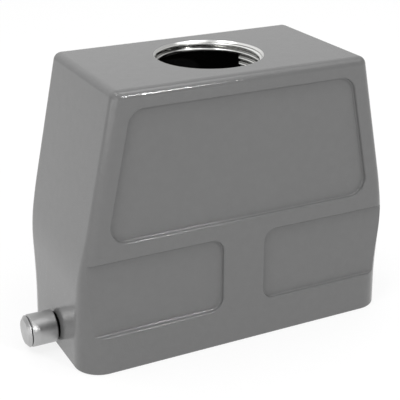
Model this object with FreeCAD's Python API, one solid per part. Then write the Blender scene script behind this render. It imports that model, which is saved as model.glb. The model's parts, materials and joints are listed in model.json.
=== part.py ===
"""Die-cast connector hood, size 16, high form, with a cable entry on top and a locking peg at each end.

Millimetres. X runs along the hood, -Y is its front, +Z is up.
The origin is the middle of the open rim, which is the plane z = 0.
"""
import FreeCAD, Part
import math
import os

# Outer form of the casting
rim_length = 93.5
hood_width = 43.0
hood_height = 76.0
shoulder_height = 28.5
shoulder_length = 92.0
top_length = 72.4
shoulder_blend_radius = 60.0
shoulder_blend_steps = 6
foot_corner_radius = 7.3
upper_corner_radius = 2.5
corner_blend_start = 8.0
corner_blend_end = 42.0
corner_blend_steps = 10
least_section_gap = 0.35
top_edge_radius = 2.3
top_edge_margin = 0.1
rim_edge_radius = 0.5

# Hollow
wall = 3.0
top_wall = 3.0
least_inner_corner = 1.6

# Sunk panels of the front and back
panel_depth = 1.2
panel_floor_radius = 0.5
panel_lip_radius = 0.45
upper_panel_bottom = 36.6
upper_panel_top = 71.1
upper_panel_half_bottom = 39.0
upper_panel_half_top = 31.9
upper_panel_corner = 4.5
lower_panel_bottom = 11.0
lower_panel_top = 31.9
lower_panel_corner = 3.5
rib_half_width = 6.2

# Cable entry, with two lugs below the top wall that carry more of the thread
entry_radius = 14.15
entry_chamfer = 0.45
lug_width = 13.4
lug_thickness = 4.2
lug_drop = 6.0
lug_inner_spare = 1.0

# Seats of the contact insert: four tapped bosses
screw_spacing_x = 77.5
screw_spacing_y = 27.0
screw_hole_radius = 1.65
screw_hole_depth = 12.0
screw_boss_radius = 4.2
screw_boss_setback = 8.0

# Locking pegs: a headed pin fixed in the end wall, with a sleeve that turns on it
peg_height = 5.8
seat_depth = 0.1
shank_radius = 2.5
pin_rib_width = 9.0
pin_rib_thickness = 1.1
collar_radius = 3.7
collar_thickness = 0.65
journal_radius = 3.0
roller_clearance = 0.05
roller_end_play = 0.05
roller_radius = 4.5
roller_length = 7.1
roller_edge = 0.3
head_gap = 0.3
head_radius = 4.38
head_thickness = 0.9
head_bevel_length = 0.75
head_bevel_width = 0.9
seat_rim_clearance = 0.25

# How far a cutting body runs past the face that it opens
overrun = 2.0

# Largest distance at which an edge counts as lying in a plane
flatness = 1e-6


def vector(x, y, z):
    return FreeCAD.Vector(x, y, z)


def box(low, high):
    """Block between two opposite corners."""
    size = [b - a for a, b in zip(low, high)]
    return Part.makeBox(size[0], size[1], size[2], vector(low[0], low[1], low[2]))


def end_wall_slopes():
    """Growth of the hood's half length for each millimetre of height, below and above the shoulder."""
    foot_slope = (shoulder_length - rim_length) / 2 / shoulder_height
    upper_slope = (top_length - shoulder_length) / 2 / (hood_height - shoulder_height)
    return foot_slope, upper_slope


def bend_span():
    """Heights between which the end wall bends from its foot to its slanted upper wall."""
    foot_angle, upper_angle = [math.atan(slope) for slope in end_wall_slopes()]
    tangent = shoulder_blend_radius * math.tan((foot_angle - upper_angle) / 2)
    return shoulder_height - tangent * math.cos(foot_angle), shoulder_height + tangent * math.cos(upper_angle)


def end_wall_half_length(z):
    """Half of the hood's length at height z: a steep foot, a long round bend and a slanted upper wall."""
    foot_slope, upper_slope = end_wall_slopes()
    start, end = bend_span()
    foot_angle = math.atan(foot_slope)
    if z <= start:
        return rim_length / 2 + foot_slope * z
    if z >= end:
        return top_length / 2 + upper_slope * (z - hood_height)
    # The arc's centre lies inside the hood, square to the foot wall at its start
    centre_x = rim_length / 2 + foot_slope * start - shoulder_blend_radius * math.cos(foot_angle)
    centre_z = start + shoulder_blend_radius * math.sin(foot_angle)
    return centre_x + math.sqrt(shoulder_blend_radius ** 2 - (z - centre_z) ** 2)


def bend_heights():
    """Heights at the ends of the round bend and evenly between them."""
    start, end = bend_span()
    return [start + (end - start) * i / shoulder_blend_steps for i in range(shoulder_blend_steps + 1)]


def corner_radius_at(z):
    """Radius of the upright edges: large at the foot, and easing to a small one above the panels' middle."""
    share = (z - corner_blend_start) / (corner_blend_end - corner_blend_start)
    share = min(max(share, 0.0), 1.0)
    eased = share * share * (3.0 - 2.0 * share)
    return foot_corner_radius + (upper_corner_radius - foot_corner_radius) * eased


def section_heights(top):
    """Heights of the sections from the rim to the given top, each at least the least gap from the next."""
    span = corner_blend_end - corner_blend_start
    blend = [corner_blend_start + span * i / corner_blend_steps for i in range(corner_blend_steps + 1)]
    heights = [0.0]
    for z in sorted(blend + bend_heights()):
        if z - heights[-1] > least_section_gap and z < top - least_section_gap:
            heights.append(z)
    return heights + [top]


def rounded_section(half_x, half_y, radius, z):
    """Closed wire of a rectangle with round corners, always with its edges in the same order."""
    edges = []
    corners = [(1, -1, -90), (1, 1, 0), (-1, 1, 90), (-1, -1, 180)]
    points = []
    for sign_x, sign_y, first_angle in corners:
        centre = (sign_x * (half_x - radius), sign_y * (half_y - radius))
        arc_points = []
        for turn in (0, 45, 90):
            angle = math.radians(first_angle + turn)
            x = centre[0] + radius * math.cos(angle)
            y = centre[1] + radius * math.sin(angle)
            arc_points.append(vector(x, y, z))
        points.append(arc_points)
    for i, arc_points in enumerate(points):
        edges.append(Part.Arc(*arc_points).toShape())
        following = points[(i + 1) % len(points)]
        edges.append(Part.LineSegment(arc_points[2], following[0]).toShape())
    return Part.Wire(edges)


def outer_body():
    """Closed outside of the casting, with its top and rim edges rounded."""
    wires = []
    for z in section_heights(hood_height):
        wires.append(rounded_section(end_wall_half_length(z), hood_width / 2, corner_radius_at(z), z))
    body = Part.makeLoft(wires, True, True).removeSplitter()
    top_edges = [e for e in body.Edges if e.BoundBox.ZMin > hood_height - flatness]
    body = body.makeFillet(min(top_edge_radius, upper_corner_radius - top_edge_margin), top_edges)
    rim_edges = [e for e in body.Edges if e.BoundBox.ZMax < flatness]
    return body.makeFillet(min(rim_edge_radius, wall / 3), rim_edges)


def hollow():
    """Space inside the walls, open at the rim."""
    ceiling = hood_height - top_wall
    half_y = hood_width / 2 - wall
    foot_radius = max(foot_corner_radius - wall, least_inner_corner)
    wires = [rounded_section(rim_length / 2 - wall, half_y, foot_radius, -overrun)]
    for z in section_heights(ceiling):
        radius = max(corner_radius_at(z) - wall, least_inner_corner)
        wires.append(rounded_section(end_wall_half_length(z) - wall, half_y, radius, z))
    return Part.makeLoft(wires, True, True)


def upright_outline(points, radius):
    """Closed outline in the plane y = 0 through points (x, z), with every corner rounded."""
    count = len(points)
    rounded = []
    for i in range(count):
        here = vector(points[i][0], 0, points[i][1])
        before = vector(points[i - 1][0], 0, points[i - 1][1]) - here
        after = vector(points[(i + 1) % count][0], 0, points[(i + 1) % count][1]) - here
        half_angle = before.getAngle(after) / 2
        reach = radius / math.tan(half_angle)
        before.normalize()
        after.normalize()
        bisector = before + after
        bisector.normalize()
        middle = here + bisector * (radius / math.sin(half_angle) - radius)
        rounded.append((here + before * reach, middle, here + after * reach))
    edges = []
    for i in range(count):
        edges.append(Part.Arc(*rounded[i]).toShape())
        edges.append(Part.LineSegment(rounded[i][2], rounded[(i + 1) % count][0]).toShape())
    return Part.Wire(edges)


def panel_cutter(points, radius):
    """Body that sinks a panel in the front face, with a round lip and a round edge to its floor."""
    face_y = -hood_width / 2
    outline = Part.Face(upright_outline(points, radius))
    outline.translate(vector(0, face_y, 0))
    pocket = outline.extrude(vector(0, panel_depth, 0))
    floor_edges = [e for e in pocket.Edges if e.BoundBox.YMin > face_y + panel_depth - flatness]
    pocket = pocket.makeFillet(panel_floor_radius, floor_edges)
    margin = panel_lip_radius + overrun
    xs = [p[0] for p in points]
    zs = [p[1] for p in points]
    low = (min(xs) - margin, face_y - overrun, min(zs) - margin)
    high = (max(xs) + margin, face_y, max(zs) + margin)
    flare = pocket.fuse(box(low, high)).removeSplitter()
    lip_edges = []
    for edge in flare.Edges:
        bounds = edge.BoundBox
        in_face = abs(bounds.YMin - face_y) < flatness and abs(bounds.YMax - face_y) < flatness
        clear_x = bounds.XMin > low[0] + overrun / 2 and bounds.XMax < high[0] - overrun / 2
        clear_z = bounds.ZMin > low[2] + overrun / 2 and bounds.ZMax < high[2] - overrun / 2
        if in_face and clear_x and clear_z:
            lip_edges.append(edge)
    return flare.makeFillet(panel_lip_radius, lip_edges)


def front_panels():
    """The upper panel, and the two lower ones that run out over the round corners."""
    upper = [(-upper_panel_half_bottom, upper_panel_bottom), (upper_panel_half_bottom, upper_panel_bottom),
             (upper_panel_half_top, upper_panel_top), (-upper_panel_half_top, upper_panel_top)]
    far = rim_length / 2 + lower_panel_corner + overrun
    right = [(rib_half_width, lower_panel_bottom), (far, lower_panel_bottom),
             (far, lower_panel_top), (rib_half_width, lower_panel_top)]
    left = [(-x, z) for x, z in reversed(right)]
    return [panel_cutter(upper, upper_panel_corner),
            panel_cutter(left, lower_panel_corner),
            panel_cutter(right, lower_panel_corner)]


def half_turn(shape):
    """Copy of a shape, turned half round about the upright axis."""
    turned = shape.copy()
    turned.rotate(vector(0, 0, 0), vector(0, 0, 1), 180)
    return turned


def entry_hole():
    """Bore of the cable entry through the top wall and on between the lugs, with a chamfer at the top face."""
    ceiling = hood_height - top_wall
    through_wall = Part.makeCylinder(entry_radius, top_wall, vector(0, 0, ceiling))
    between_lugs = Part.makeCylinder(entry_radius, lug_drop + overrun, vector(0, 0, ceiling - lug_drop - overrun))
    chamfer = Part.makeCone(entry_radius, entry_radius + entry_chamfer, entry_chamfer,
                            vector(0, 0, hood_height - entry_chamfer))
    above = Part.makeCylinder(entry_radius, overrun, vector(0, 0, hood_height))
    return through_wall.fuse([between_lugs, chamfer, above])


def entry_lugs():
    """Blocks under the top wall at both ends of the entry, bored together with it."""
    half = lug_width / 2
    ceiling = hood_height - top_wall
    inner = math.sqrt(entry_radius ** 2 - half ** 2) - lug_inner_spare
    low = (inner, -half, ceiling - lug_drop)
    high = (entry_radius + lug_thickness, half, ceiling + top_wall / 2)
    lug = box(low, high)
    return [lug, half_turn(lug)]


def screw_bosses():
    """Columns in the four inner corners, which run up into the slanted end walls."""
    reach_x = rim_length / 2
    reach_y = hood_width / 2
    bosses = []
    for sign_x in (-1, 1):
        for sign_y in (-1, 1):
            x = sign_x * screw_spacing_x / 2
            y = sign_y * screw_spacing_y / 2
            height = hood_height - top_wall - screw_boss_setback
            round_part = Part.makeCylinder(screw_boss_radius, height, vector(x, y, screw_boss_setback))
            to_end = box((min(x, sign_x * reach_x), y - screw_boss_radius, screw_boss_setback),
                         (max(x, sign_x * reach_x), y + screw_boss_radius, screw_boss_setback + height))
            to_side = box((x - screw_boss_radius, min(y, sign_y * reach_y), screw_boss_setback),
                          (x + screw_boss_radius, max(y, sign_y * reach_y), screw_boss_setback + height))
            corner = box((min(x, sign_x * reach_x), min(y, sign_y * reach_y), screw_boss_setback),
                         (max(x, sign_x * reach_x), max(y, sign_y * reach_y), screw_boss_setback + height))
            bosses.append(round_part.fuse([to_end, to_side, corner]).removeSplitter())
    return bosses


def screw_holes():
    """Tapping holes that open at the bosses' lower faces."""
    holes = []
    for sign_x in (-1, 1):
        for sign_y in (-1, 1):
            foot = vector(sign_x * screw_spacing_x / 2, sign_y * screw_spacing_y / 2, screw_boss_setback - overrun)
            holes.append(Part.makeCylinder(screw_hole_radius, screw_hole_depth + overrun, foot))
    return holes


def pin_seat_plane():
    """Distance from the hood's middle to the flat seat of a pin's collar."""
    return end_wall_half_length(peg_height) - seat_depth


def pin_inner_end():
    """Distance from the hood's middle to the inner end of a pin and of its rib."""
    return rim_length / 2 - wall - pin_rib_thickness


def pin_rib():
    """Upright rib inside the end wall that lengthens the pin's hole, and ends where the wall slants in."""
    low = (pin_inner_end(), -pin_rib_width / 2, 0.0)
    high = (rim_length / 2, pin_rib_width / 2, hood_height / 2)
    return box(low, high)


def turned_part(profile, height):
    """Solid of revolution about a line along X at the given height, from points (x, radius)."""
    points = [vector(x, 0, radius) for x, radius in profile]
    face = Part.Face(Part.makePolygon(points + [points[0]]))
    solid = face.revolve(vector(0, 0, 0), vector(1, 0, 0), 360)
    solid.translate(vector(0, 0, height))
    return solid


def pin_hole():
    """Round hole for the shank, with a shallow seat for the collar."""
    seat = pin_seat_plane()
    seat_radius = collar_radius + seat_rim_clearance
    outside = rim_length / 2 + overrun
    inside = pin_inner_end() - overrun
    profile = [(inside, 0), (inside, shank_radius), (seat, shank_radius),
               (seat, seat_radius), (outside, seat_radius), (outside, 0)]
    return turned_part(profile, peg_height)


def right_pin():
    """Headed pin: shank in the wall, collar on the seat, journal for the sleeve, and a bevelled head."""
    inner = pin_inner_end()
    seat = pin_seat_plane()
    collar_face = seat + collar_thickness
    head_face = collar_face + roller_end_play + roller_length + head_gap
    outer = head_face + head_thickness
    bevel = outer - head_bevel_length
    profile = [(inner, 0), (inner, shank_radius), (seat, shank_radius),
               (seat, collar_radius), (collar_face, collar_radius),
               (collar_face, journal_radius), (head_face, journal_radius),
               (head_face, head_radius), (bevel, head_radius),
               (outer, head_radius - head_bevel_width), (outer, 0)]
    return turned_part(profile, peg_height)


def right_roller():
    """Sleeve that turns on the pin, with small chamfers on its outer edges."""
    start = pin_seat_plane() + collar_thickness + roller_end_play
    end = start + roller_length
    bore = journal_radius + roller_clearance
    edge = min(roller_edge, (roller_radius - bore) / 2)
    profile = [(start, bore), (start, roller_radius - edge), (start + edge, roller_radius),
               (end - edge, roller_radius), (end, roller_radius - edge), (end, bore)]
    return turned_part(profile, peg_height)


def hood_shell():
    """The one-piece casting."""
    body = outer_body()
    inside_forms = [form.common(body) for form in entry_lugs() + screw_bosses() + [pin_rib(), half_turn(pin_rib())]]
    shell = body.cut(hollow())
    shell = shell.fuse(inside_forms).removeSplitter()
    panels = front_panels()
    cutters = panels + [half_turn(panel) for panel in panels]
    cutters += [entry_hole(), pin_hole(), half_turn(pin_hole())] + screw_holes()
    return shell.cut(cutters)


def write(name, shape):
    """Check one piece and write it under its node's name."""
    solids = shape.Solids
    if len(solids) != 1 or not shape.isValid():
        raise RuntimeError(name + " isn't one valid solid")
    solids[0].exportStep("parts/" + name + ".step")
    bounds = solids[0].BoundBox
    print(name, "volume", round(solids[0].Volume, 2), "from", round(bounds.XMin, 2), round(bounds.YMin, 2),
          round(bounds.ZMin, 2), "to", round(bounds.XMax, 2), round(bounds.YMax, 2), round(bounds.ZMax, 2))


def main():
    os.makedirs("parts", exist_ok=True)
    write("hood_shell", hood_shell())
    write("right_peg_pin", right_pin())
    write("left_peg_pin", half_turn(right_pin()))
    write("right_peg_roller", right_roller())
    write("left_peg_roller", half_turn(right_roller()))


main()
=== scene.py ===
"""Looks of an empty die-cast connector hood with a threaded cable entry and a locking peg at each end.

Metres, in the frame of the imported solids: X runs along the hood, -Y is its front, +Z is up,
and the open rim lies in the plane z = 0.
"""

import json
import logging
import math
from dataclasses import dataclass
from enum import Enum
from typing import Any

import bpy
from mathutils import Matrix, Vector


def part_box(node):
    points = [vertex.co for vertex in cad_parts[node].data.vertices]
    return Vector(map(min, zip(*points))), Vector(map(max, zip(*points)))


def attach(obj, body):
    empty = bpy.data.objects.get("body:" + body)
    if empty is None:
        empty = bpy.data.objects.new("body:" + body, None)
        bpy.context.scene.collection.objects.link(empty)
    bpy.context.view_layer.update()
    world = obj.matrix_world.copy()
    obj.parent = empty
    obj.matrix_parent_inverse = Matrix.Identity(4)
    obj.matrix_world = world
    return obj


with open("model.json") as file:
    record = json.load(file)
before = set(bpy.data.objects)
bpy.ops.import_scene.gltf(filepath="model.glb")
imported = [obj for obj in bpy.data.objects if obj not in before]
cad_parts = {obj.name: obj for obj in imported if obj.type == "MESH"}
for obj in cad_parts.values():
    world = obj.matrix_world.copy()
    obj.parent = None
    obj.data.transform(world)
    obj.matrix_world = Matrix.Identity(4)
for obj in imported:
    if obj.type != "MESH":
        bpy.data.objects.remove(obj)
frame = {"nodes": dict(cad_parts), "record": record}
LOG = logging.getLogger("connector_hood")
MM = 0.001
RGBA = tuple[float, float, float, float]
WHITE: RGBA = (1.0, 1.0, 1.0, 1.0)
# A mix node's sockets go by number, because those for numbers, vectors and colours share their names
NUMBER_A, NUMBER_B, NUMBER_OUT = 2, 3, 0
VECTOR_A, VECTOR_B, VECTOR_OUT = 4, 5, 1
COLOUR_A, COLOUR_B, COLOUR_OUT = 6, 7, 2


def linear(hex_colour: str) -> RGBA:
    """Turn an sRGB hex colour into linear light.

    Args:
        hex_colour: Colour as "#RRGGBB".

    Returns:
        Linear red, green and blue, and an alpha of one.
    """
    channels = []
    for start in (1, 3, 5):
        value = int(hex_colour[start:start + 2], 16) / 255
        channels.append(value / 12.92 if value <= 0.04045 else ((value + 0.055) / 1.055) ** 2.4)
    return channels[0], channels[1], channels[2], 1.0


def towards(azimuth: float, elevation: float) -> Vector:
    """Turn a direction as seen from the hood into a unit vector.

    Args:
        azimuth: Degrees about the upright axis, zero in front of the hood and positive to the right.
        elevation: Degrees above the table.

    Returns:
        Unit vector from the hood.
    """
    turn, lift = math.radians(azimuth), math.radians(elevation)
    return Vector((math.sin(turn) * math.cos(lift), -math.cos(turn) * math.cos(lift), math.sin(lift)))


def add_node(tree: bpy.types.NodeTree, kind: str, inputs: dict[str | int, Any] | None = None,
             **settings: Any) -> bpy.types.Node:
    """Add a node with its settings, and set or link its inputs.

    Args:
        tree: Node tree that receives the node.
        kind: Type name of the node.
        inputs: Value, or output socket to link, for each input socket's name or number.
        **settings: Properties of the node itself.

    Returns:
        The new node.
    """
    node = tree.nodes.new(kind)
    for name, value in settings.items():
        setattr(node, name, value)
    for key, value in (inputs or {}).items():
        socket = node.inputs[key]
        if isinstance(value, bpy.types.NodeSocket):
            tree.links.new(value, socket)
        else:
            socket.default_value = value
    return node


def new_material(name: str) -> tuple[bpy.types.Material, bpy.types.NodeTree]:
    """Make an empty node material.

    Args:
        name: Name of the finish.

    Returns:
        The material and its cleared node tree.
    """
    material = bpy.data.materials.new(name)
    material.use_nodes = True
    material.node_tree.nodes.clear()
    return material, material.node_tree


def dress(node_name: str, material: bpy.types.Material) -> None:
    """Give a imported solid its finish.

    Args:
        node_name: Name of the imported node.
        material: Finish for every slot of the node.
    """
    node = frame["nodes"][node_name]
    for slot in node.material_slots:
        slot.link = "OBJECT"
        slot.material = material
    LOG.info("%s: dressed in %s", node_name, material.name)


def mount(name: str) -> dict[str, Any]:
    """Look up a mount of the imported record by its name."""
    return next(m for m in frame["record"]["mounts"] if m["name"] == name)


class Side(Enum):
    """End of the hood that carries a locking peg."""

    LEFT = "left"
    RIGHT = "right"


@dataclass(frozen=True)
class CastingZones:
    """Where the casting is cut bare after coating, and where the inside is painted near-black as shade.

    Attributes:
        entry_radius: Radius of the cable entry with its chamfer.
        entry_floor: Height of the lower faces of the entry's lugs.
        hole_place: Distance of the tapped holes from the middle, along X and along Y.
        hole_radius: Radius of the tapped holes.
        hole_depth: Depth of the tapped holes.
        inside: Half length, half width and height of the space behind the walls.
        shoulder: Height above which the end walls lean inwards.
        lean: Distance that the end walls lean inwards in all.
        top: Height of the top face.
    """

    entry_radius: float
    entry_floor: float
    hole_place: tuple[float, float]
    hole_radius: float
    hole_depth: float
    inside: tuple[float, float, float]
    shoulder: float
    lean: float
    top: float


@dataclass(frozen=True)
class PowderCoat:
    """Fine-textured powder coat, sprayed on die-cast aluminium and baked.

    It gives a glossy neutral grey whose small grain breaks a glint on an edge into specks. The inside
    is painted almost black as painted shade, and where the casting was tapped after coating, the cut
    metal shows.

    Attributes:
        colour: The coat where it flowed thick.
        colour_dark: The coat where it flowed thin.
        roughness: Roughness of the coat.
        ior: Refraction of the clear resin at the coat's face.
        grain: Size of the coat's grain.
        grain_depth: Depth of the grain.
        flow: Size of the slow waves that the melted powder leaves.
        flow_depth: Depth of these waves.
        painted_inside_shade: Near-black painted shade on the faces behind the walls.
        metal: Cut metal of the entry and of the tapped holes.
        metal_roughness: Roughness of the cut metal.
        feed: Spacing of the cutter's marks on the cut metal.
        feed_depth: Depth of these marks.
    """

    colour: str = "#6A6A6A"
    colour_dark: str = "#666666"
    roughness: float = 0.1
    ior: float = 1.4
    # The coat's grain is about 0.2 mm: drawn at 0.6 mm, the finest that shows
    grain: float = 0.6 * MM
    grain_depth: float = 0.045 * MM
    flow: float = 2.4 * MM
    flow_depth: float = 0.03 * MM
    # Near-black painted shade for the faces behind the walls
    painted_inside_shade: str = "#161616"
    metal: str = "#DADAD8"
    metal_roughness: float = 0.15
    # Feed marks of the cutter are about 0.1 mm apart: drawn at 0.5 mm, the finest that shows
    feed: float = 0.5 * MM
    feed_depth: float = 0.004 * MM

    def material(self, zones: CastingZones) -> bpy.types.Material:
        """Build the finish.

        Args:
            zones: Where the metal is bare and where the inside is painted near-black as shade.

        Returns:
            The finished material.
        """
        material, tree = new_material("powder_coated_aluminium")
        place = add_node(tree, "ShaderNodeTexCoord").outputs["Object"]
        bare = self.bare_share(tree, place, zones)
        inside = self.inside_share(tree, place, zones)
        grain = add_node(tree, "ShaderNodeTexNoise",
                         {"Vector": place, "Scale": 1 / self.grain, "Detail": 2.0, "Roughness": 0.6})
        flow = add_node(tree, "ShaderNodeTexNoise",
                        {"Vector": place, "Scale": 1 / self.flow, "Detail": 1.0, "Roughness": 0.5})
        tint = add_node(tree, "ShaderNodeMix",
                        {"Factor": flow.outputs["Fac"], COLOUR_A: linear(self.colour_dark),
                         COLOUR_B: linear(self.colour)}, data_type="RGBA")
        # The faces behind the walls are painted near-black as shade
        inside_shaded = add_node(tree, "ShaderNodeMix",
                           {"Factor": inside, COLOUR_A: tint.outputs[COLOUR_OUT],
                            COLOUR_B: linear(self.painted_inside_shade)}, data_type="RGBA")
        colour = add_node(tree, "ShaderNodeMix",
                          {"Factor": bare, COLOUR_A: inside_shaded.outputs[COLOUR_OUT],
                           COLOUR_B: linear(self.metal)}, data_type="RGBA")
        roughness = add_node(tree, "ShaderNodeMix",
                             {"Factor": bare, NUMBER_A: self.roughness,
                              NUMBER_B: self.metal_roughness}, data_type="FLOAT")
        flow_bump = add_node(tree, "ShaderNodeBump",
                             {"Height": flow.outputs["Fac"], "Distance": self.flow_depth,
                              "Strength": 1.0})
        grain_bump = add_node(tree, "ShaderNodeBump",
                              {"Height": grain.outputs["Fac"], "Distance": self.grain_depth,
                               "Strength": 1.0, "Normal": flow_bump.outputs["Normal"]})
        height = add_node(tree, "ShaderNodeSeparateXYZ", {"Vector": place}).outputs["Z"]
        turns = add_node(tree, "ShaderNodeMath", {0: height, 1: 2 * math.pi / self.feed},
                         operation="MULTIPLY")
        marks = add_node(tree, "ShaderNodeMath", {0: turns.outputs[0]}, operation="SINE")
        marks_bump = add_node(tree, "ShaderNodeBump",
                              {"Height": marks.outputs[0], "Distance": self.feed_depth, "Strength": 1.0})
        normal = add_node(tree, "ShaderNodeMix",
                          {"Factor": bare, VECTOR_A: grain_bump.outputs["Normal"],
                           VECTOR_B: marks_bump.outputs["Normal"]}, data_type="VECTOR")
        shader = add_node(tree, "ShaderNodeBsdfPrincipled",
                          {"Base Color": colour.outputs[COLOUR_OUT], "Metallic": bare,
                           "Roughness": roughness.outputs[NUMBER_OUT], "IOR": self.ior,
                           "Normal": normal.outputs[VECTOR_OUT]})
        add_node(tree, "ShaderNodeOutputMaterial", {"Surface": shader.outputs["BSDF"]})
        return material

    def bare_share(self, tree: bpy.types.NodeTree, place: bpy.types.NodeSocket,
                   zones: CastingZones) -> bpy.types.NodeSocket:
        """Mark the cable entry and the tapped holes.

        Args:
            tree: Tree of the material.
            place: Object coordinates.
            zones: Where the metal is bare.

        Returns:
            Socket that is one on bare metal and zero on the coat.
        """
        height = add_node(tree, "ShaderNodeSeparateXYZ", {"Vector": place}).outputs["Z"]
        flat = add_node(tree, "ShaderNodeVectorMath", {0: place, 1: (1, 1, 0)}, operation="MULTIPLY")
        away = add_node(tree, "ShaderNodeVectorMath", {0: flat.outputs[0]}, operation="LENGTH")
        near_axis = add_node(tree, "ShaderNodeMath", {0: away.outputs["Value"], 1: zones.entry_radius},
                             operation="LESS_THAN")
        above = add_node(tree, "ShaderNodeMath", {0: height, 1: zones.entry_floor},
                         operation="GREATER_THAN")
        entry = add_node(tree, "ShaderNodeMath", {0: near_axis.outputs[0], 1: above.outputs[0]},
                         operation="MULTIPLY")
        quarter = add_node(tree, "ShaderNodeVectorMath", {0: flat.outputs[0]}, operation="ABSOLUTE")
        to_hole = add_node(tree, "ShaderNodeVectorMath",
                           {0: quarter.outputs[0], 1: (*zones.hole_place, 0)}, operation="DISTANCE")
        near_hole = add_node(tree, "ShaderNodeMath", {0: to_hole.outputs["Value"], 1: zones.hole_radius},
                             operation="LESS_THAN")
        below = add_node(tree, "ShaderNodeMath", {0: height, 1: zones.hole_depth}, operation="LESS_THAN")
        hole = add_node(tree, "ShaderNodeMath", {0: near_hole.outputs[0], 1: below.outputs[0]},
                        operation="MULTIPLY")
        either = add_node(tree, "ShaderNodeMath", {0: entry.outputs[0], 1: hole.outputs[0]},
                          operation="MAXIMUM")
        return either.outputs[0]

    def inside_share(self, tree: bpy.types.NodeTree, place: bpy.types.NodeSocket,
                     zones: CastingZones) -> bpy.types.NodeSocket:
        """Mark the faces behind the walls, which are painted near-black as shade.

        The leaning end walls are brought upright first, and the space is then a plain box. Places are
        counted in whole boxes, so that only the first box has a count of zero.

        Args:
            tree: Tree of the material.
            place: Object coordinates.
            zones: Where the space is.

        Returns:
            Socket that is one inside the hood and zero outside.
        """
        quarter = add_node(tree, "ShaderNodeVectorMath", {0: place}, operation="ABSOLUTE")
        height = add_node(tree, "ShaderNodeSeparateXYZ", {"Vector": quarter.outputs[0]}).outputs["Z"]
        lean = add_node(tree, "ShaderNodeMapRange",
                        {"Value": height, "From Min": zones.shoulder, "From Max": zones.top,
                         "To Min": 0.0, "To Max": zones.lean})
        shift = add_node(tree, "ShaderNodeCombineXYZ", {"X": lean.outputs["Result"]})
        upright = add_node(tree, "ShaderNodeVectorMath", {0: quarter.outputs[0], 1: shift.outputs[0]},
                           operation="ADD")
        scaled = add_node(tree, "ShaderNodeVectorMath", {0: upright.outputs[0], 1: zones.inside},
                          operation="DIVIDE")
        cell = add_node(tree, "ShaderNodeVectorMath", {0: scaled.outputs[0]}, operation="FLOOR")
        beyond = add_node(tree, "ShaderNodeVectorMath", {0: cell.outputs[0]}, operation="LENGTH")
        within = add_node(tree, "ShaderNodeMath", {0: beyond.outputs["Value"], 1: 0.5},
                          operation="LESS_THAN")
        return within.outputs[0]


@dataclass(frozen=True)
class TurnedSteel:
    """Passivated steel turned on a lathe: smooth and fairly dark, with fine rings about its axis.

    The rings run round the sleeve and head, and draw each highlight out along the peg.

    Attributes:
        name: Name of the finish.
        colour: Clean steel.
        roughness: Middle roughness.
        anisotropy: How far the rings draw a highlight out.
        feed: Spacing of the rings.
        feed_depth: Depth of the rings.
        smear: Size of the smoother and duller blotches that handling leaves.
        smoothest: Roughness of the smoothest blotch, as a share of the middle roughness.
        dullest: Roughness of the dullest blotch, as a share of the middle roughness.
        painted_gap_shade: Black painted shade on the pin behind the head, seen in the gap between the
            sleeve and the wall.
    """

    name: str
    colour: str = "#B0B0B0"
    roughness: float = 0.33
    anisotropy: float = 0.6
    # The tool's feed is about 0.08 mm: drawn at 0.35 mm, the finest that shows
    feed: float = 0.35 * MM
    feed_depth: float = 0.005 * MM
    smear: float = 1.6 * MM
    smoothest: float = 0.8
    dullest: float = 1.25
    # Black painted shade for the pin behind the head, in the gap at the wall
    painted_gap_shade: str = "#080808"

    def material(self, axis_height: float, painted_shade_reach: float | None = None) -> bpy.types.Material:
        """Build the finish.

        Args:
            axis_height: Height of the lathe axis, which runs along X.
            painted_shade_reach: Distance from the middle of the hood within which the steel is painted
            black as shade, or None for clean steel.

        Returns:
            The finished material.
        """
        material, tree = new_material(self.name)
        place = add_node(tree, "ShaderNodeTexCoord").outputs["Object"]
        centred = add_node(tree, "ShaderNodeVectorMath", {0: place, 1: (0, 0, axis_height)},
                           operation="SUBTRACT")
        across = add_node(tree, "ShaderNodeVectorMath", {0: centred.outputs[0], 1: (0, 1, 1)},
                          operation="MULTIPLY")
        radius = add_node(tree, "ShaderNodeVectorMath", {0: across.outputs[0]}, operation="LENGTH")
        along = add_node(tree, "ShaderNodeSeparateXYZ", {"Vector": place}).outputs["X"]
        # The cutter's path runs along the sleeve and across the head's face
        path = add_node(tree, "ShaderNodeMath", {0: radius.outputs["Value"], 1: along}, operation="ADD")
        turns = add_node(tree, "ShaderNodeMath", {0: path.outputs[0], 1: 2 * math.pi / self.feed},
                         operation="MULTIPLY")
        rings = add_node(tree, "ShaderNodeMath", {0: turns.outputs[0]}, operation="SINE")
        bump = add_node(tree, "ShaderNodeBump",
                        {"Height": rings.outputs[0], "Distance": self.feed_depth, "Strength": 1.0})
        blotches = add_node(tree, "ShaderNodeTexNoise",
                            {"Vector": place, "Scale": 1 / self.smear, "Detail": 3.0})
        roughness = add_node(tree, "ShaderNodeMapRange",
                             {"Value": blotches.outputs["Fac"],
                              "To Min": self.roughness * self.smoothest,
                              "To Max": self.roughness * self.dullest})
        colour: Any = linear(self.colour)
        # Behind the head the pin is painted black as shade, seen in the gap between the sleeve and the
        # wall
        if painted_shade_reach is not None:
            distance = add_node(tree, "ShaderNodeMath", {0: along}, operation="ABSOLUTE")
            gap_shaded = add_node(tree, "ShaderNodeMath", {0: distance.outputs[0], 1: painted_shade_reach},
                               operation="LESS_THAN")
            colour = add_node(tree, "ShaderNodeMix",
                              {"Factor": gap_shaded.outputs[0], COLOUR_A: linear(self.colour),
                               COLOUR_B: linear(self.painted_gap_shade)}, data_type="RGBA").outputs[COLOUR_OUT]
        shader = add_node(tree, "ShaderNodeBsdfPrincipled",
                          {"Base Color": colour, "Metallic": 1.0,
                           "Roughness": roughness.outputs["Result"], "Anisotropic": self.anisotropy,
                           "Normal": bump.outputs["Normal"]})
        tangent = add_node(tree, "ShaderNodeTangent", direction_type="RADIAL", axis="X")
        tree.links.new(tangent.outputs["Tangent"], shader.inputs["Tangent"])
        add_node(tree, "ShaderNodeOutputMaterial", {"Surface": shader.outputs["BSDF"]})
        return material


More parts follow.
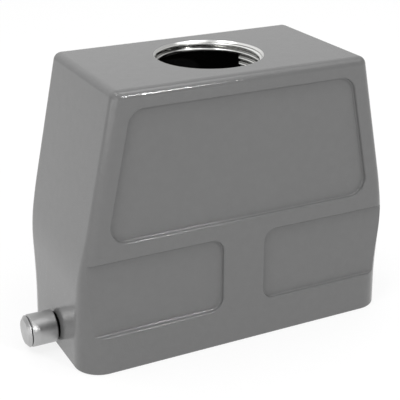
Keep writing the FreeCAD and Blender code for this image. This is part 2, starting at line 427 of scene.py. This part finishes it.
@dataclass(frozen=True)
class CutAluminium:
    """Die-cast aluminium freshly cut by a tap: bright, with slight tearing along the flanks.

    Attributes:
        colour: The cut metal.
        roughness: Roughness of the cut metal.
        tear: Size of the torn grains.
        tear_depth: Depth of the tearing.
    """

    colour: str = "#E2E2E0"
    roughness: float = 0.14
    # Torn grains are about 0.1 mm: drawn at 0.4 mm, the finest that shows
    tear: float = 0.4 * MM
    tear_depth: float = 0.01 * MM

    def material(self) -> bpy.types.Material:
        """Build the finish.

        Returns:
            The finished material.
        """
        material, tree = new_material("tapped_aluminium")
        place = add_node(tree, "ShaderNodeTexCoord").outputs["Object"]
        tears = add_node(tree, "ShaderNodeTexNoise",
                         {"Vector": place, "Scale": 1 / self.tear, "Detail": 2.0})
        bump = add_node(tree, "ShaderNodeBump",
                        {"Height": tears.outputs["Fac"], "Distance": self.tear_depth, "Strength": 1.0})
        shader = add_node(tree, "ShaderNodeBsdfPrincipled",
                          {"Base Color": linear(self.colour), "Metallic": 1.0,
                           "Roughness": self.roughness, "Normal": bump.outputs["Normal"]})
        add_node(tree, "ShaderNodeOutputMaterial", {"Surface": shader.outputs["BSDF"]})
        return material


@dataclass(frozen=True)
class PaleTable:
    """White acrylic light table, lit from below, on which shadows stay faint.

    Attributes:
        colour: The acrylic with its lamps off.
        roughness: Roughness of the acrylic.
        glow: Light from below, where one is paper white.
    """

    colour: str = "#6E6E6E"
    roughness: float = 0.9
    glow: float = 0.8

    def material(self) -> bpy.types.Material:
        """Build the finish.

        Returns:
            The finished material.
        """
        material, tree = new_material("pale_table")
        shader = add_node(tree, "ShaderNodeBsdfPrincipled",
                          {"Base Color": linear(self.colour), "Roughness": self.roughness,
                           "Emission Color": WHITE, "Emission Strength": self.glow})
        add_node(tree, "ShaderNodeOutputMaterial", {"Surface": shader.outputs["BSDF"]})
        return material


@dataclass(frozen=True)
class EntryThread:
    """Turns of the cable thread inside the entry.

    The top wall carries the uppermost turns all round. Below it, only the two lugs at the ends of the
    entry carry turns, as arcs about +X and -X.

    Attributes:
        root_radius: Radius at the bottom of the thread's groove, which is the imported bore.
        top: Height of the hood's top face.
        bottom: Height of the lugs' lower faces.
        chamfer: Depth of the chamfer at the top, below which the thread ends.
        lug_half_width: Half of a lug's width across Y.
        pitch: Height of one turn: sixteen turns to the inch.
        depth: Height of the ridge above the bottom of the groove.
        crest_width: Width of the ridge's crest.
        root_width: Width of the ridge at the bottom of the groove.
        overlap: How far the ridge reaches into the wall.
        lean: How far the crest lies off the middle of the ridge, negative towards the top.
        wall: Thickness of the top wall.
        lug_drop: Height of a lug below the top wall.
        lead_in: Gap between the chamfer and the uppermost turn.
        wall_turns: Turns that run all round, through the top wall.
        wall_run_out: Share of those turns over which each end fades into the wall.
        lug_run_out: Share of a lug's arc over which each end fades into the wall.
        faded: Size of the ridge's section at a faded end, as a share of its full size.
        points_per_turn: Sections along one turn.
    """

    root_radius: float
    top: float
    bottom: float
    chamfer: float
    lug_half_width: float = 6.7 * MM
    pitch: float = 25.4 * MM / 16
    depth: float = 0.76 * MM
    crest_width: float = 0.06 * MM
    root_width: float = 1.58 * MM
    overlap: float = 0.05 * MM
    lean: float = -0.25 * MM
    wall: float = 3.0 * MM
    lug_drop: float = 6.0 * MM
    lead_in: float = 0.1 * MM
    wall_turns: float = 1.48
    wall_run_out: float = 0.07
    lug_run_out: float = 0.001
    faded: float = 0.02
    points_per_turn: int = 144

    def tree(self) -> bpy.types.NodeTree:
        """Build the node tree that makes the ridge.

        Returns:
            Tree with the thread's sizes as named inputs.
        """
        tree = bpy.data.node_groups.new("thread_turns", "GeometryNodeTree")
        sockets = {
            "NodeSocketFloat": ("Root Radius", "Pitch", "Depth", "Crest Width", "Root Width", "Lean",
                                "Lug Half Width", "Lower Limit", "Upper Limit", "First Height",
                                "Lug Arc", "Wall Turns"),
            "NodeSocketInt": ("Lug Turns", "Points per Turn"),
            "NodeSocketMaterial": ("Finish",),
        }
        for kind, names in sockets.items():
            for name in names:
                tree.interface.new_socket(name, in_out="INPUT", socket_type=kind)
        tree.interface.new_socket("Geometry", in_out="OUTPUT", socket_type="NodeSocketGeometry")
        size = add_node(tree, "NodeGroupInput").outputs
        profile = self.profile(tree, size)
        # Arc of one lug: part of a turn, centred on +X
        lug_rise = add_node(tree, "ShaderNodeMath", {0: size["Pitch"], 1: size["Lug Arc"]},
                            operation="MULTIPLY")
        arc = self.ridge(tree, size, profile, size["Lug Arc"], lug_rise.outputs[0], self.lug_run_out)
        turn = add_node(tree, "ShaderNodeMath", {0: size["Lug Arc"], 1: -math.pi}, operation="MULTIPLY")
        drop = add_node(tree, "ShaderNodeMath", {0: lug_rise.outputs[0], 1: -0.5}, operation="MULTIPLY")
        centre = add_node(tree, "ShaderNodeCombineXYZ", {"Z": drop.outputs[0]})
        spin = add_node(tree, "ShaderNodeCombineXYZ", {"Z": turn.outputs[0]})
        centred = add_node(tree, "GeometryNodeTransform",
                           {"Geometry": arc, "Translation": centre.outputs[0],
                            "Rotation": spin.outputs[0]})
        step = add_node(tree, "ShaderNodeCombineXYZ", {"Z": size["Pitch"]})
        first = add_node(tree, "ShaderNodeCombineXYZ", {"Z": size["First Height"]})
        stack = add_node(tree, "GeometryNodeMeshLine",
                         {"Count": size["Lug Turns"], "Start Location": first.outputs[0],
                          "Offset": step.outputs[0]})
        right = add_node(tree, "GeometryNodeInstanceOnPoints",
                         {"Points": stack.outputs["Mesh"], "Instance": centred.outputs["Geometry"]})
        half_step = add_node(tree, "ShaderNodeMath", {0: size["Pitch"], 1: 0.5}, operation="MULTIPLY")
        lift = add_node(tree, "ShaderNodeCombineXYZ", {"Z": half_step.outputs[0]})
        left = add_node(tree, "GeometryNodeTransform",
                        {"Geometry": right.outputs["Instances"], "Translation": lift.outputs[0],
                         "Rotation": (0.0, 0.0, math.pi)})
        # The top wall's turns carry on one pitch above the right lug's last arc
        wall_rise = add_node(tree, "ShaderNodeMath", {0: size["Pitch"], 1: size["Wall Turns"]},
                             operation="MULTIPLY")
        ring = self.ridge(tree, size, profile, size["Wall Turns"], wall_rise.outputs[0],
                          self.wall_run_out)
        climbed = add_node(tree, "ShaderNodeMath",
                           {0: size["Pitch"], 1: size["Lug Turns"], 2: size["First Height"]},
                           operation="MULTIPLY_ADD")
        ring_start = add_node(tree, "ShaderNodeMath", {0: climbed.outputs[0], 1: drop.outputs[0]},
                              operation="ADD")
        ring_lift = add_node(tree, "ShaderNodeCombineXYZ", {"Z": ring_start.outputs[0]})
        upper = add_node(tree, "GeometryNodeTransform",
                         {"Geometry": ring, "Translation": ring_lift.outputs[0],
                          "Rotation": spin.outputs[0]})
        trimmed = self.trim(tree, size, upper.outputs["Geometry"])
        joined = add_node(tree, "GeometryNodeJoinGeometry")
        for part in (right.outputs["Instances"], left.outputs["Geometry"], trimmed):
            tree.links.new(part, joined.inputs["Geometry"])
        real = add_node(tree, "GeometryNodeRealizeInstances", {"Geometry": joined.outputs["Geometry"]})
        dressed = add_node(tree, "GeometryNodeSetMaterial",
                           {"Geometry": real.outputs["Geometry"], "Material": size["Finish"]})
        add_node(tree, "NodeGroupOutput", {"Geometry": dressed.outputs["Geometry"]})
        return tree

    def profile(self, tree: bpy.types.NodeTree, size: Any) -> bpy.types.NodeSocket:
        """Draw the ridge's section: a trapezoid, wide in the wall and narrow towards the axis.

        Args:
            tree: Tree that receives the nodes.
            size: Sockets of the tree's inputs.

        Returns:
            Closed profile curve.
        """
        shape = add_node(tree, "GeometryNodeCurvePrimitiveQuadrilateral",
                         {"Bottom Width": size["Root Width"], "Top Width": size["Crest Width"],
                          "Height": size["Depth"], "Offset": size["Lean"]}, mode="TRAPEZOID")
        half = add_node(tree, "ShaderNodeMath", {0: size["Depth"], 1: -0.5}, operation="MULTIPLY")
        inward = add_node(tree, "ShaderNodeCombineXYZ", {"X": half.outputs[0]})
        turned = add_node(tree, "GeometryNodeTransform",
                          {"Geometry": shape.outputs["Curve"], "Translation": inward.outputs[0],
                           "Rotation": (0.0, 0.0, math.pi / 2)})
        return turned.outputs["Geometry"]

    def ridge(self, tree: bpy.types.NodeTree, size: Any, profile: bpy.types.NodeSocket,
              turns: bpy.types.NodeSocket, rise: bpy.types.NodeSocket,
              run_out: float) -> bpy.types.NodeSocket:
        """Sweep the profile along a helix that starts on +X at height zero.

        Args:
            tree: Tree that receives the nodes.
            size: Sockets of the tree's inputs.
            profile: Section of the ridge.
            turns: Number of turns of the helix.
            rise: Height that the helix climbs.
            run_out: Share of the helix over which each end fades into the wall.

        Returns:
            Closed mesh of the ridge.
        """
        helix = add_node(tree, "GeometryNodeCurveSpiral",
                         {"Resolution": size["Points per Turn"], "Rotations": turns,
                          "Start Radius": size["Root Radius"], "End Radius": size["Root Radius"],
                          "Height": rise, "Reverse": True})
        upright = add_node(tree, "GeometryNodeSetCurveNormal", {"Curve": helix.outputs["Curve"]},
                           mode="Z_UP")
        travel = add_node(tree, "GeometryNodeSplineParameter").outputs["Factor"]
        to_end = add_node(tree, "ShaderNodeMath", {0: travel, 1: 0.5}, operation="PINGPONG")
        share = add_node(tree, "ShaderNodeMapRange",
                         {"Value": to_end.outputs[0], "From Min": 0.0, "From Max": run_out,
                          "To Min": self.faded, "To Max": 1.0})
        swept = add_node(tree, "GeometryNodeCurveToMesh",
                         {"Curve": upright.outputs["Curve"], "Profile Curve": profile,
                          "Scale": share.outputs["Result"], "Fill Caps": True})
        return swept.outputs["Mesh"]

    def trim(self, tree: bpy.types.NodeTree, size: Any,
             ring: bpy.types.NodeSocket) -> bpy.types.NodeSocket:
        """Cut the wall's turns off at the chamfer and, between the lugs, at the wall's lower face.

        Args:
            tree: Tree that receives the nodes.
            size: Sockets of the tree's inputs.
            ring: Mesh of the wall's turns.

        Returns:
            Mesh whose points beyond either limit lie in it.
        """
        position = add_node(tree, "GeometryNodeInputPosition").outputs["Position"]
        place = add_node(tree, "ShaderNodeSeparateXYZ", {"Vector": position})
        off_middle = add_node(tree, "ShaderNodeMath", {0: place.outputs["Y"]}, operation="ABSOLUTE")
        on_lug = add_node(tree, "ShaderNodeMath", {0: off_middle.outputs[0], 1: size["Lug Half Width"]},
                          operation="LESS_THAN")
        lower = add_node(tree, "ShaderNodeMath",
                         {0: on_lug.outputs[0], 1: -self.lug_drop, 2: size["Lower Limit"]},
                         operation="MULTIPLY_ADD")
        raised = add_node(tree, "ShaderNodeMath", {0: place.outputs["Z"], 1: lower.outputs[0]},
                          operation="MAXIMUM")
        height = add_node(tree, "ShaderNodeMath", {0: raised.outputs[0], 1: size["Upper Limit"]},
                          operation="MINIMUM")
        kept = add_node(tree, "ShaderNodeCombineXYZ",
                        {"X": place.outputs["X"], "Y": place.outputs["Y"], "Z": height.outputs[0]})
        moved = add_node(tree, "GeometryNodeSetPosition",
                         {"Geometry": ring, "Position": kept.outputs[0]})
        return moved.outputs["Geometry"]

    def build(self, finish: bpy.types.Material) -> bpy.types.Object:
        """Make the thread as a plain mesh that rides on the hood.

        Args:
            finish: Finish of the cut metal.

        Returns:
            The thread's object.
        """
        lug_arc = 2 * math.asin(self.lug_half_width / self.root_radius) / (2 * math.pi)
        highest = self.top - self.chamfer - self.lead_in
        ring_start = highest - self.wall_turns * self.pitch
        lug_turns = math.floor((ring_start - self.bottom - self.root_width / 2) / self.pitch)
        first = ring_start + lug_arc * self.pitch / 2 - lug_turns * self.pitch
        values = {"Root Radius": self.root_radius + self.overlap, "Pitch": self.pitch,
                  "Depth": self.depth + self.overlap, "Crest Width": self.crest_width,
                  "Root Width": self.root_width, "Lean": self.lean,
                  "Lug Half Width": self.lug_half_width, "Lower Limit": self.top - self.wall,
                  "Upper Limit": self.top - self.chamfer, "First Height": first, "Lug Turns": lug_turns,
                  "Lug Arc": lug_arc, "Wall Turns": self.wall_turns,
                  "Points per Turn": self.points_per_turn, "Finish": finish}
        tree = self.tree()
        blank = bpy.data.meshes.new("thread_carrier")
        carrier = bpy.data.objects.new("thread_carrier", blank)
        bpy.context.scene.collection.objects.link(carrier)
        modifier = carrier.modifiers.new("turns", "NODES")
        modifier.node_group = tree
        for item in tree.interface.items_tree:
            if item.in_out == "INPUT":
                modifier[item.identifier] = values[item.name]
        evaluated = carrier.evaluated_get(bpy.context.evaluated_depsgraph_get())
        mesh = bpy.data.meshes.new_from_object(evaluated)
        bpy.data.objects.remove(carrier)
        bpy.data.meshes.remove(blank)
        mesh.name = "entry_thread"
        thread = bpy.data.objects.new("entry_thread", mesh)
        bpy.context.scene.collection.objects.link(thread)
        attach(thread, "hood")
        LOG.info("entry_thread: %d faces, %d arcs on each lug", len(mesh.polygons), lug_turns)
        return thread


@dataclass(frozen=True)
class Hood:
    """The coated casting and the thread in its cable entry.

    Attributes:
        chamfer: Depth of the chamfer at the top of the cable entry.
        lug_reach: Depth of the entry's lugs below the top face.
        shoulder: Height above which the end walls lean inwards.
        shoulder_half_length: Half of the hood's length at the shoulder.
        top_half_length: Half of the hood's length at the top face.
        skin: Depth below the outer faces at which the inside begins.
        edge_room: Room for rounding between the solids' mesh and a zone's limit.
        hole_depth: Depth of the tapped holes.
    """

    chamfer: float = 0.45 * MM
    lug_reach: float = 9.0 * MM
    shoulder: float = 28.5 * MM
    shoulder_half_length: float = 46.0 * MM
    top_half_length: float = 36.2 * MM
    skin: float = 2.2 * MM
    edge_room: float = 0.05 * MM
    hole_depth: float = 12.0 * MM

    def build(self) -> None:
        """Dress the casting and make the thread."""
        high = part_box("hood_shell")[1]
        entry = mount("cable_entry")
        radius = entry["dims"]["r_mm"] * MM
        screws = mount("insert_screws")["dims"]
        zones = CastingZones(
            entry_radius=radius + self.chamfer + self.edge_room,
            entry_floor=high.z - self.lug_reach - self.edge_room,
            hole_place=(screws["spacing_x_mm"] / 2 * MM, screws["spacing_y_mm"] / 2 * MM),
            hole_radius=screws["hole_r_mm"] * MM + self.edge_room,
            hole_depth=self.hole_depth + self.edge_room,
            inside=(self.shoulder_half_length - self.skin, high.y - self.skin, high.z - self.skin),
            shoulder=self.shoulder,
            lean=self.shoulder_half_length - self.top_half_length,
            top=high.z,
        )
        dress("hood_shell", PowderCoat().material(zones))
        thread = EntryThread(root_radius=radius, top=high.z, bottom=high.z - self.lug_reach,
                             chamfer=self.chamfer)
        thread.build(CutAluminium().material())


@dataclass(frozen=True)
class LockingPeg:
    """Headed pin and turning sleeve at one end of the hood.

    Attributes:
        side: End of the hood.
    """

    side: Side

    def build(self, pin_steel: bpy.types.Material, roller_steel: bpy.types.Material) -> None:
        """Dress the peg.

        Args:
            pin_steel: Finish of the pin.
            roller_steel: Finish of the sleeve.
        """
        dress(f"{self.side.value}_peg_pin", pin_steel)
        dress(f"{self.side.value}_peg_roller", roller_steel)


@dataclass(frozen=True)
class SoftBox:
    """Rectangular studio light that faces the hood.

    Attributes:
        name: Name of the light.
        azimuth: Degrees about the upright axis, zero in front of the hood and positive to the right.
        elevation: Degrees above the table.
        distance: Metres from the target.
        width: Metres across.
        height: Metres up.
        radiance: Brightness of its face, where one is paper white.
        target: Point that the light faces.
    """

    name: str
    azimuth: float
    elevation: float
    distance: float
    width: float
    height: float
    radiance: float
    target: tuple[float, float, float] = (0.0, 0.0, 0.038)

    def build(self) -> None:
        """Hang the light."""
        away = towards(self.azimuth, self.elevation)
        data = bpy.data.lights.new(self.name, "AREA")
        data.shape = "RECTANGLE"
        data.size = self.width
        data.size_y = self.height
        data.energy = self.radiance * math.pi * self.width * self.height
        light = bpy.data.objects.new(self.name, data)
        light.location = Vector(self.target) + away * self.distance
        light.rotation_mode = "QUATERNION"
        light.rotation_quaternion = away.to_track_quat("Z", "Y")
        bpy.context.scene.collection.objects.link(light)
        LOG.info("%s: light of %.2f W", self.name, data.energy)


@dataclass(frozen=True)
class Viewpoint:
    """Camera that sees the hood as the reference does.

    Attributes:
        azimuth: Degrees about the upright axis, negative to the left of the front.
        elevation: Degrees above the table.
        distance: Metres from the target.
        target: Point in the middle of the picture.
        lens: Focal length in millimetres.
        sensor: Width of the sensor in millimetres.
        near: Distance within which nothing is drawn.
        roll: Degrees, anticlockwise as the camera sees it.
    """

    azimuth: float = -26.99
    elevation: float = 22.83
    distance: float = 298.93 * MM
    target: tuple[float, float, float] = (-2.49 * MM, 0.0, 34.34 * MM)
    lens: float = 96.17
    sensor: float = 36.0
    near: float = 10 * MM
    roll: float = 0.145

    def build(self) -> None:
        """Set up the camera and make it the scene's."""
        back = towards(self.azimuth, self.elevation)
        data = bpy.data.cameras.new("viewpoint")
        data.sensor_width = self.sensor
        data.lens = self.lens
        data.clip_start = self.near
        camera = bpy.data.objects.new("viewpoint", data)
        level = back.to_track_quat("Z", "Y").to_matrix()
        rolled = level @ Matrix.Rotation(math.radians(self.roll), 3, "Z")
        place = Vector(self.target) + back * self.distance
        camera.matrix_world = Matrix.Translation(place) @ rolled.to_4x4()
        bpy.context.scene.collection.objects.link(camera)
        bpy.context.scene.camera = camera
        LOG.info("%s: camera with a lens of %.0f mm", camera.name, data.lens)


@dataclass(frozen=True)
class Studio:
    """Pale table, soft lights and sky of a plain studio.

    Attributes:
        table_size: Length of the table's sides in metres.
        horizon: Brightness of the sky just above the table's edge.
        horizon_height: Sine of the elevation at which that band has faded.
        sky_low: Brightness of the sky at right angles to its centre and beyond.
        sky_high: Brightness of the sky at its centre.
        sky_centre: Direction of the sky's brightest point, above and behind the hood.
    """

    table_size: float = 6.0
    horizon: float = 0.6
    horizon_height: float = 0.3
    sky_low: float = 0.05
    sky_high: float = 1.14
    sky_centre: tuple[float, float, float] = (-0.08, 0.63, 0.772)

    def build(self) -> None:
        """Set up the table, the lights, the sky and the camera."""
        self.lay_table()
        self.raise_sky()
        for light in self.lights():
            light.build()
        Viewpoint().build()
        bpy.context.scene.view_settings.view_transform = "Standard"

    def lights(self) -> list[SoftBox]:
        """List the studio's lights.

        Returns:
            The key light, which draws the glints, and the soft boxes around it.
        """
        return [
            SoftBox("key", azimuth=23.0, elevation=32.0, distance=0.9, width=0.05, height=0.04,
                    radiance=400.0),
            SoftBox("near_left", azimuth=-50.0, elevation=15.0, distance=0.35, width=0.2, height=0.2,
                    radiance=1.9),
            SoftBox("low_left", azimuth=-83.0, elevation=4.0, distance=0.9, width=0.55, height=0.16,
                    radiance=2.8),
            SoftBox("high_left", azimuth=-60.0, elevation=60.0, distance=0.8, width=0.2, height=0.2,
                    radiance=8.5),
            SoftBox("high_front", azimuth=30.0, elevation=62.0, distance=0.9, width=0.9, height=0.6,
                    radiance=1.2),
            SoftBox("overhead_left", azimuth=-109.7, elevation=69.6, distance=0.85, width=0.28,
                    height=0.28, radiance=3.0),
            SoftBox("overhead_right", azimuth=57.5, elevation=71.9, distance=0.84, width=0.28,
                    height=0.28, radiance=3.0),
        ]

    def lay_table(self) -> None:
        """Lay the table under the hood."""
        half = self.table_size / 2
        mesh = bpy.data.meshes.new("table")
        corners = [(-half, -half, 0.0), (half, -half, 0.0), (half, half, 0.0), (-half, half, 0.0)]
        mesh.from_pydata(corners, [], [(0, 1, 2, 3)])
        mesh.materials.append(PaleTable().material())
        table = bpy.data.objects.new("table", mesh)
        bpy.context.scene.collection.objects.link(table)
        LOG.info("table: %.0f m square", self.table_size)

    def raise_sky(self) -> None:
        """Light the room from all sides, brightest above and behind the hood."""
        world = bpy.data.worlds.new("studio")
        world.use_nodes = True
        tree = world.node_tree
        tree.nodes.clear()
        direction = add_node(tree, "ShaderNodeTexCoord").outputs["Generated"]
        height = add_node(tree, "ShaderNodeVectorMath", {0: direction, 1: self.sky_centre},
                          operation="DOT_PRODUCT").outputs["Value"]
        strength = add_node(tree, "ShaderNodeMapRange",
                            {"Value": height, "From Min": 0.0, "From Max": 1.0, "To Min": self.sky_low,
                             "To Max": self.sky_high})
        lift = add_node(tree, "ShaderNodeSeparateXYZ", {"Vector": direction}).outputs["Z"]
        horizon = add_node(tree, "ShaderNodeMapRange",
                           {"Value": lift, "From Min": 0.0, "From Max": self.horizon_height,
                            "To Min": self.horizon, "To Max": 0.0})
        either = add_node(tree, "ShaderNodeMath",
                          {0: strength.outputs["Result"], 1: horizon.outputs["Result"]},
                          operation="MAXIMUM")
        sky = add_node(tree, "ShaderNodeBackground",
                       {"Color": WHITE, "Strength": either.outputs[0]})
        add_node(tree, "ShaderNodeOutputWorld", {"Surface": sky.outputs["Background"]})
        bpy.context.scene.world = world
        LOG.info("sky: brightness of %.2f at its centre", self.sky_high)


def main() -> None:
    """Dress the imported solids, add the thread and set up the studio."""
    logging.basicConfig(level=logging.INFO, format="%(name)s: %(message)s")
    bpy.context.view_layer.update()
    Hood().build()
    peg_height = mount("left_peg")["pos_m"][2]
    sleeve_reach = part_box("right_peg_roller")[1].x
    # The pin is painted black as shade up to the sleeve's outer end
    pin_steel = TurnedSteel("turned_pin_steel").material(peg_height, sleeve_reach)
    roller_steel = TurnedSteel("turned_roller_steel", roughness=0.34).material(peg_height)
    for side in Side:
        LockingPeg(side).build(pin_steel, roller_steel)
    Studio().build()


if __name__ == "__main__":
    main()
